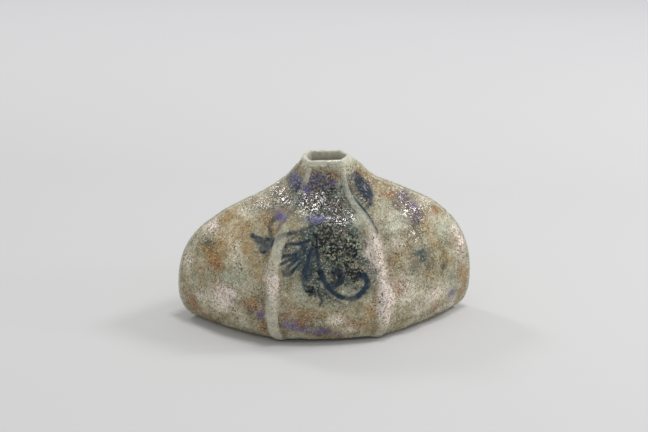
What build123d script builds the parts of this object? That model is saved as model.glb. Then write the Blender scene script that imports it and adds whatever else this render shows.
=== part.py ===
from build123d import *
from math import sqrt
import os

# Overall sizes, over the side beads and the bowed walls
overall_width = 172.0
overall_depth = 100.0
overall_height = 96.0

# Slabs
wall_thickness = 4.5
floor_thickness = 7.0
relief_height = 1.5
relief_depth = 6.0

# Front wall at the belly, ridge to ridge
front_width = 64.0

# Mouth collar, its outline ridge to ridge, and how far it stands off the middle to the right
mouth_width = 27.0
mouth_depth = 22.0
mouth_front_width = 18.0
mouth_shift = 1.4
mouth_wall = 2.6
mouth_corner_radius = 2.5
collar_height = 6.0
lip_radius = 1.0

# The six ridges as the hand left them, anticlockwise from the right wing. First shares of the way
# out, for foot, shoulder and neck, the neck counted from the mouth. Then shares of the height, for
# heel, shoulder and neck. Last how much of the shorter run beside each of these its bend takes up.
# Front and back walls are cut alike, so their ridges repeat when the vase is turned round.
upright_shares = ((0.856, 1.0, 0.01), (0.072, 0.608, 0.886), (0.8, 0.65, 0.61))
leaning_shares = ((0.85, 0.79, 0.06), (0.11, 0.665, 0.8), (0.6, 0.55, 0.44))
ridge_shares = {
    "right": ((0.9, 1.0, 0.13), (0.076, 0.612, 0.88), (0.8, 0.635, 0.53)),
    "back_right": upright_shares,
    "back_left": leaning_shares,
    "left": ((0.888, 1.0, 0.12), (0.075, 0.532, 0.87), (0.8, 0.68, 0.7)),
    "front_left": upright_shares,
    "front_right": leaning_shares,
}

# Reach midway between an upright and a leaning ridge, over the reach of the upright one
middle_reach_share = 0.9885

# Seam beads outside, coils inside
side_bead_radius = 2.4
side_bead_proud = 1.0
front_bead_foot_radius = 4.8
front_bead_mouth_radius = 4.3
front_bead_depth = 3.5
coil_radius = 2.8
coil_bury = 1.0
floor_coil_height = 5.0
floor_coil_foot = 5.0
floor_coil_top = 1.2

# Bow of a side over its length, where the coils end and where outlines are drawn on the way up
pillow_share = 0.04
coil_top_share = 0.708
rise_shares = (0.0, 0.035, 0.08, 0.15, 0.26, 0.41, 0.54, 0.64, 0.72, 0.79, 0.85, 0.9, 0.95, 1.0)

# Steps in the search for a height along a ridge
halvings = 40

# Places that follow from the sizes
seat_height = overall_height - collar_height
overrun = wall_thickness + wall_thickness
half_width = overall_width / 2 - side_bead_proud
half_depth = (overall_depth / 2 - front_width * pillow_share) / middle_reach_share
wing_edge = (Vector(front_width / 2, half_depth) - Vector(half_width, 0)).normalized()

# The ridges seen from above: where each starts and heads, how far along it the mouth and the belly
# lie, and how far along it the inside lies behind the outside
ridge_names = tuple(ridge_shares)
ridge_sides = ((1, 0), (1, 1), (-1, 1), (-1, 0), (-1, -1), (1, -1))
starts = []
headings = []
mouth_reaches = []
belly_reaches = []
insets = []
for sign_x, sign_y in ridge_sides:
    if sign_y == 0:
        mouth = Vector(mouth_shift + mouth_width / 2 * sign_x, 0)
        belly = Vector(half_width * sign_x, 0)
        start = Vector(mouth_shift, 0)
        heading = Vector(sign_x, 0)
        insets.append(wall_thickness / wing_edge.Y)
    else:
        mouth = Vector(mouth_shift + mouth_front_width / 2 * sign_x, mouth_depth / 2 * sign_y)
        belly = Vector(front_width / 2 * sign_x, half_depth * sign_y)
        heading = (belly - mouth).normalized()
        start = mouth - heading * (mouth.Y / heading.Y)
        insets.append(wall_thickness / abs(heading.Y))
    starts.append(start)
    headings.append(heading)
    mouth_reaches.append((mouth - start).length)
    belly_reaches.append((belly - start).length)


def is_wing(index):
    return headings[index].Y == 0


# A ridge seen from the side, moved inwards by an inset and run on past foot and mouth
def ridge_line(index, inset):
    out_shares, height_shares, bend_shares = ridge_shares[ridge_names[index]]
    foot_share, shoulder_out_share, neck_out_share = out_shares
    heel_share, shoulder_share, neck_share = height_shares
    mouth_reach = mouth_reaches[index]
    belly_reach = belly_reaches[index]
    neck_reach = mouth_reach + (belly_reach - mouth_reach) * neck_out_share
    corners = [
        Vector(belly_reach * foot_share, 0),
        Vector(belly_reach, overall_height * heel_share),
        Vector(belly_reach * shoulder_out_share, overall_height * shoulder_share),
        Vector(neck_reach, overall_height * neck_share),
        Vector(mouth_reach, overall_height),
    ]
    steps = [after - before for before, after in zip(corners, corners[1:])]
    runs = [step.normalized() for step in steps]
    insides = [Vector(-run.Y, run.X) for run in runs]
    points = [corners[0] + insides[0] * inset - runs[0] * overrun]
    bends = []
    for bend, bend_share in enumerate(bend_shares):
        touch = min(steps[bend].length, steps[bend + 1].length) * bend_share
        turn = runs[bend].dot(runs[bend + 1])
        radius = touch * sqrt((1 + turn) / (1 - turn))
        points.append(corners[bend + 1] + (insides[bend] + insides[bend + 1]) * (inset / (1 + turn)))
        hollow_side = runs[bend].cross(runs[bend + 1]).Z < 0
        bends.append(radius + inset if hollow_side else radius - inset)
    points.append(corners[-1] + insides[-1] * inset + runs[-1] * overrun)
    with BuildLine() as line:
        FilletPolyline(*points, radius=bends)
    return line.wire()


outer_lines = [ridge_line(index, 0) for index in range(len(ridge_names))]
inner_lines = [ridge_line(index, inset) for index, inset in enumerate(insets)]


# How far out a ridge line stands at a height
def reach_at(line, height):
    low = 0
    high = 1
    for _ in range(halvings):
        middle = (low + high) / 2
        if line.position_at(middle).Y < height:
            low = middle
        else:
            high = middle
    return line.position_at(low).X


# Corners of the six-sided outline at a height
def corners_at(height, lines):
    reaches = [reach_at(line, height) for line in lines]
    return [start + heading * reach for start, heading, reach in zip(starts, headings, reaches)]


# Closed outline of six slightly bowed sides
def outline(corners):
    for index, corner in enumerate(corners):
        follower = corners[(index + 1) % len(corners)]
        side = follower - corner
        outward = Vector(side.Y, -side.X) * pillow_share
        middle = (corner + follower) / 2 + outward
        ThreePointArc(tuple(corner), tuple(middle), tuple(follower))


def rises(bottom, top):
    return [bottom + (top - bottom) * share for share in rise_shares]


# Outside of the whole vessel, and its hollow
with BuildPart() as outside:
    for height in rises(0, seat_height):
        with BuildSketch(Plane.XY.offset(height)):
            with BuildLine():
                outline(corners_at(height, outer_lines))
            make_face()
    loft()

with BuildPart() as hollow:
    for height in rises(floor_thickness, seat_height):
        with BuildSketch(Plane.XY.offset(height)):
            with BuildLine():
                outline(corners_at(height, inner_lines))
            make_face()
    loft()

os.makedirs("parts", exist_ok=True)

# Floor slab, under the walls, eased along its front and back lower edges
foot_corner = corners_at(0, outer_lines)[1]
foot_front = foot_corner.Y + foot_corner.X * pillow_share * 2
with BuildPart() as floor_slab:
    add(outside.part)
    split(bisect_by=Plane.XY.offset(floor_thickness), keep=Keep.BOTTOM)
    with BuildSketch(Plane.YZ):
        with BuildLine():
            Polyline(
                (foot_front - relief_depth, 0),
                (foot_front + relief_depth, 0),
                (foot_front + relief_depth, relief_height * 2),
                close=True,
            )
        make_face()
        mirror(about=Plane.YZ)
    extrude(amount=foot_corner.X, both=True, mode=Mode.SUBTRACT)
floor_slab.part.label = "floor_slab"
export_step(floor_slab.part, "parts/floor_slab.step")

# Six wall slabs, mitred where two meet
wall_names = (
    "right_back_wall",
    "back_wall",
    "left_back_wall",
    "left_front_wall",
    "front_wall",
    "right_front_wall",
)
with BuildPart() as shell:
    add(outside.part)
    split(bisect_by=Plane.XY.offset(floor_thickness), keep=Keep.TOP)
    add(hollow.part, mode=Mode.SUBTRACT)

joint_starts = [start + heading * (mouth_wall / 2) for start, heading in zip(starts, headings)]
joint_ends = [start + heading * overall_width for start, heading in zip(starts, headings)]
for index, wall_name in enumerate(wall_names):
    follower = (index + 1) % len(wall_names)
    with BuildPart() as wall:
        add(shell.part)
        with BuildSketch():
            with BuildLine():
                Polyline(
                    tuple(joint_starts[index]),
                    tuple(joint_ends[index]),
                    tuple(joint_ends[follower]),
                    tuple(joint_starts[follower]),
                    close=True,
                )
            make_face()
        extrude(amount=overall_height, mode=Mode.INTERSECT)
    wall.part.label = wall_name
    export_step(wall.part, f"parts/{wall_name}.step")

# Mouth collar standing on the wall tops, thinned towards a rounded lip
with BuildPart() as mouth_collar:
    for height in (seat_height, overall_height):
        with BuildSketch(Plane.XY.offset(height)) as rim:
            with BuildLine():
                outline(corners_at(height, outer_lines))
            make_face()
            fillet(rim.vertices(), radius=mouth_corner_radius)
    loft()
    for height, thickness in ((seat_height, wall_thickness), (overall_height, mouth_wall)):
        with BuildSketch(Plane.XY.offset(height)) as opening:
            with BuildLine():
                outline(corners_at(overall_height, outer_lines))
            make_face()
            offset(amount=-thickness, kind=Kind.INTERSECTION)
            fillet(opening.vertices(), radius=mouth_corner_radius)
    loft(mode=Mode.SUBTRACT)
    fillet(mouth_collar.faces().sort_by(Axis.Z)[-1].edges(), radius=lip_radius)
mouth_collar.part.label = "mouth_collar"
export_step(mouth_collar.part, "parts/mouth_collar.step")

# Floor coil, smoothed into the inside joint of floor and walls
with BuildPart() as floor_coil:
    add(hollow.part)
    split(bisect_by=Plane.XY.offset(floor_thickness + floor_coil_height), keep=Keep.BOTTOM)
    for rise, inset in ((0, floor_coil_foot), (floor_coil_height, floor_coil_top)):
        with BuildSketch(Plane.XY.offset(floor_thickness + rise)):
            with BuildLine():
                outline(corners_at(floor_thickness + rise, inner_lines))
            make_face()
            offset(amount=-inset, kind=Kind.INTERSECTION)
    loft(mode=Mode.SUBTRACT)
floor_coil.part.label = "floor_coil"
export_step(floor_coil.part, "parts/floor_coil.step")

# Seam beads outside and coils inside, along each ridge
for index, ridge_name in enumerate(ridge_names):
    heading = headings[index]
    plane = Plane(origin=starts[index], x_dir=heading, z_dir=Vector(heading.Y, -heading.X))
    foot_radius = side_bead_radius if is_wing(index) else front_bead_foot_radius
    mouth_radius = side_bead_radius if is_wing(index) else front_bead_mouth_radius
    bead_depth = side_bead_radius - side_bead_proud if is_wing(index) else front_bead_depth
    bead_path = plane.from_local_coords(ridge_line(index, bead_depth))
    with BuildPart() as bead:
        with BuildSketch(Plane(origin=bead_path @ 0, z_dir=bead_path % 0)):
            Circle(foot_radius)
        with BuildSketch(Plane(origin=bead_path @ 1, z_dir=bead_path % 1)):
            Circle(mouth_radius)
        sweep(path=bead_path, multisection=True)
        split(bisect_by=Plane.XY, keep=Keep.TOP)
        split(bisect_by=Plane.XY.offset(seat_height), keep=Keep.BOTTOM)
        add(outside.part, mode=Mode.SUBTRACT)
    bead.part.label = f"{ridge_name}_seam_bead"
    export_step(bead.part, f"parts/{ridge_name}_seam_bead.step")

    coil_path = plane.from_local_coords(ridge_line(index, insets[index] + coil_radius - coil_bury))
    with BuildPart() as coil:
        with BuildSketch(Plane(origin=coil_path @ 0, z_dir=coil_path % 0)):
            Circle(coil_radius)
        sweep(path=coil_path)
        add(hollow.part, mode=Mode.INTERSECT)
        split(bisect_by=Plane.XY.offset(overall_height * coil_top_share), keep=Keep.BOTTOM)
        add(floor_coil.part, mode=Mode.SUBTRACT)
    coil.part.label = f"{ridge_name}_inner_coil"
    export_step(coil.part, f"parts/{ridge_name}_inner_coil.step")
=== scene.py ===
import math
import bpy
import bmesh
import numpy as np
from mathutils import Matrix, Vector


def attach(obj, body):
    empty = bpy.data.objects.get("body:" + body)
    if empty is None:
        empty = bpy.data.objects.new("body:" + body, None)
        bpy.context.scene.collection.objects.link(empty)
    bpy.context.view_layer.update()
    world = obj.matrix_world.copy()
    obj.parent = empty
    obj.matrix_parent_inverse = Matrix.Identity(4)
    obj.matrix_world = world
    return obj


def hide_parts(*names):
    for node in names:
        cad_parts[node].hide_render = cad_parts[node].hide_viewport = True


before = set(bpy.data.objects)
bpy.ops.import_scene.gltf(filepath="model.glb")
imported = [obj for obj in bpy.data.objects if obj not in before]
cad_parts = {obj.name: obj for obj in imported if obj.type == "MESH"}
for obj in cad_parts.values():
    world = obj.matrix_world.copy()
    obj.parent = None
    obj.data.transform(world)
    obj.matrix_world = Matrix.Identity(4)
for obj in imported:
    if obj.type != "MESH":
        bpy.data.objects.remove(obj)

scene = bpy.context.scene
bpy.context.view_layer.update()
mm = 0.001
print("frame loaded,", len(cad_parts), "nodes")

# ridges of the pot from foot to mouth, each point is right, back, up in mm
vessel = {
    "rightWing": [(75.0, 0, 0), (80.2, 0, 4), (84.2, 0, 12), (85.2, 0, 20), (84.7, 0, 32), (81.8, 0, 44),
                  (75.2, 0, 56), (69.8, 0, 62), (62.4, 0, 68), (46.8, 0, 76), (28.9, 0, 84),
                  (20.3, 0, 92), (15.3, 0, 96)],
    "leftWing": [(-75.4, 0, 0), (-80.2, 0, 4), (-84.4, 0, 12), (-85.2, 0, 20), (-83.8, 0, 32),
                 (-79.6, 0, 44), (-70.1, 0, 56), (-62.2, 0, 62), (-52.3, 0, 68), (-35.3, 0, 76),
                 (-22.6, 0, 84), (-14.8, 0, 92), (-12.0, 0, 96)],
    "frontLeft": [(-27.9, -40.5, 0), (-30.2, -44.2, 4), (-31.8, -46.8, 10), (-32.7, -47.9, 20),
                  (-32.6, -47.8, 32), (-31.4, -46.2, 44), (-28.4, -41.2, 55), (-24.4, -34.4, 66),
                  (-19.3, -26.0, 74.5), (-13.2, -16.3, 81.5), (-9.7, -12.0, 88), (-8.0, -11.0, 96)],
    "frontRight": [(27.9, -40.5, 0), (29.6, -43.3, 4), (30.8, -45.6, 10), (31.2, -46.2, 20),
                   (30.3, -44.6, 32), (28.6, -41.6, 44), (26.0, -37.2, 56), (21.4, -29.4, 67.5),
                   (14.2, -16.8, 76), (11.6, -12.8, 84), (11.0, -11.8, 90), (10.2, -11.0, 96)],
    "backLeft": [(-27.9, 40.5, 0), (-29.6, 43.3, 4), (-31.0, 45.8, 10), (-31.4, 46.4, 20),
                 (-30.3, 44.6, 32), (-28.6, 41.6, 44), (-26.0, 37.2, 56), (-20.8, 29.4, 67.5),
                 (-12.2, 16.8, 76), (-9.2, 12.8, 84), (-8.6, 11.8, 90), (-7.6, 11.0, 96)],
    "backRight": [(27.9, 40.5, 0), (30.2, 44.2, 4), (31.8, 46.8, 10), (32.7, 47.9, 20), (32.6, 47.8, 32),
                  (31.4, 46.2, 44), (28.6, 41.2, 55), (25.0, 34.4, 66), (20.6, 26.0, 74.5),
                  (15.0, 16.3, 81.5), (12.0, 12.0, 88), (10.4, 11.0, 96)],
    "bow": 0.04,  # how far a wall bows out, over its width
    "wallTop": 94.6,
    "wallThickness": 4.5,
    "frontLift": 1.5,  # front and back lower edges stand off the table
}
ringOfRidges = ["rightWing", "backRight", "backLeft", "leftWing", "frontLeft", "frontRight"]
wallBetween = {
    "right_back_wall": ("rightWing", "backRight"),
    "back_wall": ("backRight", "backLeft"),
    "left_back_wall": ("backLeft", "leftWing"),
    "left_front_wall": ("leftWing", "frontLeft"),
    "front_wall": ("frontLeft", "frontRight"),
    "right_front_wall": ("frontRight", "rightWing"),
}


def smoothStep(low, high, value):
    t = np.clip((value - low) / (high - low), 0, 1)
    return t * t * (3 - 2 * t)


def smoothThrough(knots, values, at):
    # gentle curve through a few values
    knots = np.asarray(knots, float)
    values = np.asarray(values, float)
    gap = np.diff(knots)
    slope = np.diff(values) / gap
    lean = np.empty_like(values)
    lean[0] = slope[0]
    lean[-1] = slope[-1]
    lean[1:-1] = (slope[:-1] * gap[1:] + slope[1:] * gap[:-1]) / (gap[:-1] + gap[1:])
    i = np.clip(np.searchsorted(knots, at) - 1, 0, len(knots) - 2)
    t = (at - knots[i]) / gap[i]
    return ((1 + 2 * t) * (1 - t) ** 2 * values[i] + t * (1 - t) ** 2 * gap[i] * lean[i]
            + t * t * (3 - 2 * t) * values[i + 1] + t * t * (t - 1) * gap[i] * lean[i + 1])


def ridgeAt(ridge, height):
    points = np.array(vessel[ridge], float)
    right = smoothThrough(points[:, 2], points[:, 0], height)
    behind = smoothThrough(points[:, 2], points[:, 1], height)
    return np.stack([right, behind], -1)


# seeded grain, used for the shape of the glaze
def lattice(i, j, k, seed):
    n = (i * 374761393 + j * 668265263 + k * 1440662683 + seed * 974634777) & 0xffffffff
    n = ((n ^ (n >> 13)) * 1274126177) & 0xffffffff
    return ((n ^ (n >> 16)) & 0xffffff) / float(0xffffff)


def clouds(points, size, octaves=3, seed=1):
    total = np.zeros(len(points))
    share = 1.0
    whole = 0.0
    for octave in range(octaves):
        q = points / size * 2 ** octave + seed * 7.31
        base = np.floor(q).astype(np.int64)
        f = q - base
        f = f * f * f * (f * (f * 6 - 15) + 10)
        value = np.zeros(len(points))
        for corner in range(8):
            step = np.array([corner & 1, corner >> 1 & 1, corner >> 2 & 1])
            weight = np.prod(np.where(step, f, 1 - f), axis=1)
            spot = base + step
            value += weight * lattice(spot[:, 0], spot[:, 1], spot[:, 2], seed + octave)
        total += share * (2 * value - 1)
        whole += share
        share *= 0.5
    return total / whole


def cells(points, size, seed=1):
    # distances to the nearest and next nearest of scattered spots
    q = points / size
    base = np.floor(q).astype(np.int64)
    near = np.full(len(points), 9.0)
    far = np.full(len(points), 9.0)
    for i in (-1, 0, 1):
        for j in (-1, 0, 1):
            for k in (-1, 0, 1):
                a, b, c = base[:, 0] + i, base[:, 1] + j, base[:, 2] + k
                right = q[:, 0] - a - lattice(a, b, c, seed)
                behind = q[:, 1] - b - lattice(a, b, c, seed + 11)
                up = q[:, 2] - c - lattice(a, b, c, seed + 23)
                d = np.sqrt(right ** 2 + behind ** 2 + up ** 2)
                far = np.minimum(far, np.maximum(near, d))
                near = np.minimum(near, d)
    return near, far


# soft hollows and swells pressed into the walls: across, up, spread across, spread up, mm outwards
handMarks = {
    "front_wall": [(0.10, 30, 0.10, 30, -0.7), (0.90, 34, 0.10, 30, -0.7), (0.5, 40, 0.3, 26, 0.8)],
    "left_front_wall": [(0.90, 36, 0.07, 34, -1.0), (0.62, 34, 0.16, 30, 0.9),
                        (0.36, 48, 0.10, 22, -0.6), (0.2, 26, 0.12, 20, 0.5)],
    "right_front_wall": [(0.13, 38, 0.06, 34, -1.6), (0.30, 34, 0.09, 30, 1.1),
                         (0.46, 40, 0.07, 26, -0.7), (0.66, 30, 0.12, 26, 0.8)],
    "back_wall": [(0.12, 30, 0.10, 30, -0.7), (0.88, 34, 0.10, 30, -0.7), (0.45, 36, 0.3, 26, 0.7)],
    "left_back_wall": [(0.12, 34, 0.07, 34, -1.1), (0.36, 36, 0.14, 28, 0.9), (0.6, 30, 0.12, 24, -0.5)],
    "right_back_wall": [(0.88, 34, 0.07, 34, -1.2), (0.6, 36, 0.14, 28, 0.9),
                        (0.35, 44, 0.12, 24, -0.6)],
}


def wallPoint(wall, across, height):
    # place on the plain outside of a wall, arrays of share across and height
    first, second = wallBetween[wall]
    a = ridgeAt(first, height)
    b = ridgeAt(second, height)
    side = b - a
    width = np.linalg.norm(side, axis=-1, keepdims=True)
    outward = np.stack([side[..., 1], -side[..., 0]], -1) / width
    bulge = (width[..., 0] * vessel["bow"] * 4 * across * (1 - across))
    for u, z, du, dz, amount in handMarks[wall]:
        bulge = bulge + amount * np.exp(-((across - u) / du) ** 2 - ((height - z) / dz) ** 2)
    flat = a + side * across[..., None] + outward * bulge[..., None]
    return np.concatenate([flat, np.broadcast_to(height[..., None], flat.shape[:-1] + (1,))], -1)


def wallWidth(wall, height):
    first, second = wallBetween[wall]
    return np.linalg.norm(ridgeAt(second, height) - ridgeAt(first, height), axis=-1)


def riseLevels(count):
    # shares of the way up, spaced evenly along the curve of the walls
    z = np.linspace(0, vessel["wallTop"], 800)
    run = np.zeros(len(z) - 1)
    for ridge in ringOfRidges:
        path = np.concatenate([ridgeAt(ridge, z), z[:, None]], 1)
        run += np.linalg.norm(np.diff(path, axis=0), axis=1)
    way = np.concatenate([[0], np.cumsum(run)])
    return np.interp(np.linspace(0, way[-1], count), way, z) / vessel["wallTop"]


def gridNormals(grid):
    along = np.gradient(grid, axis=1)
    up = np.gradient(grid, axis=0)
    normal = np.cross(along, up)
    return normal / np.maximum(np.linalg.norm(normal, axis=-1, keepdims=True), 1e-9)


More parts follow.
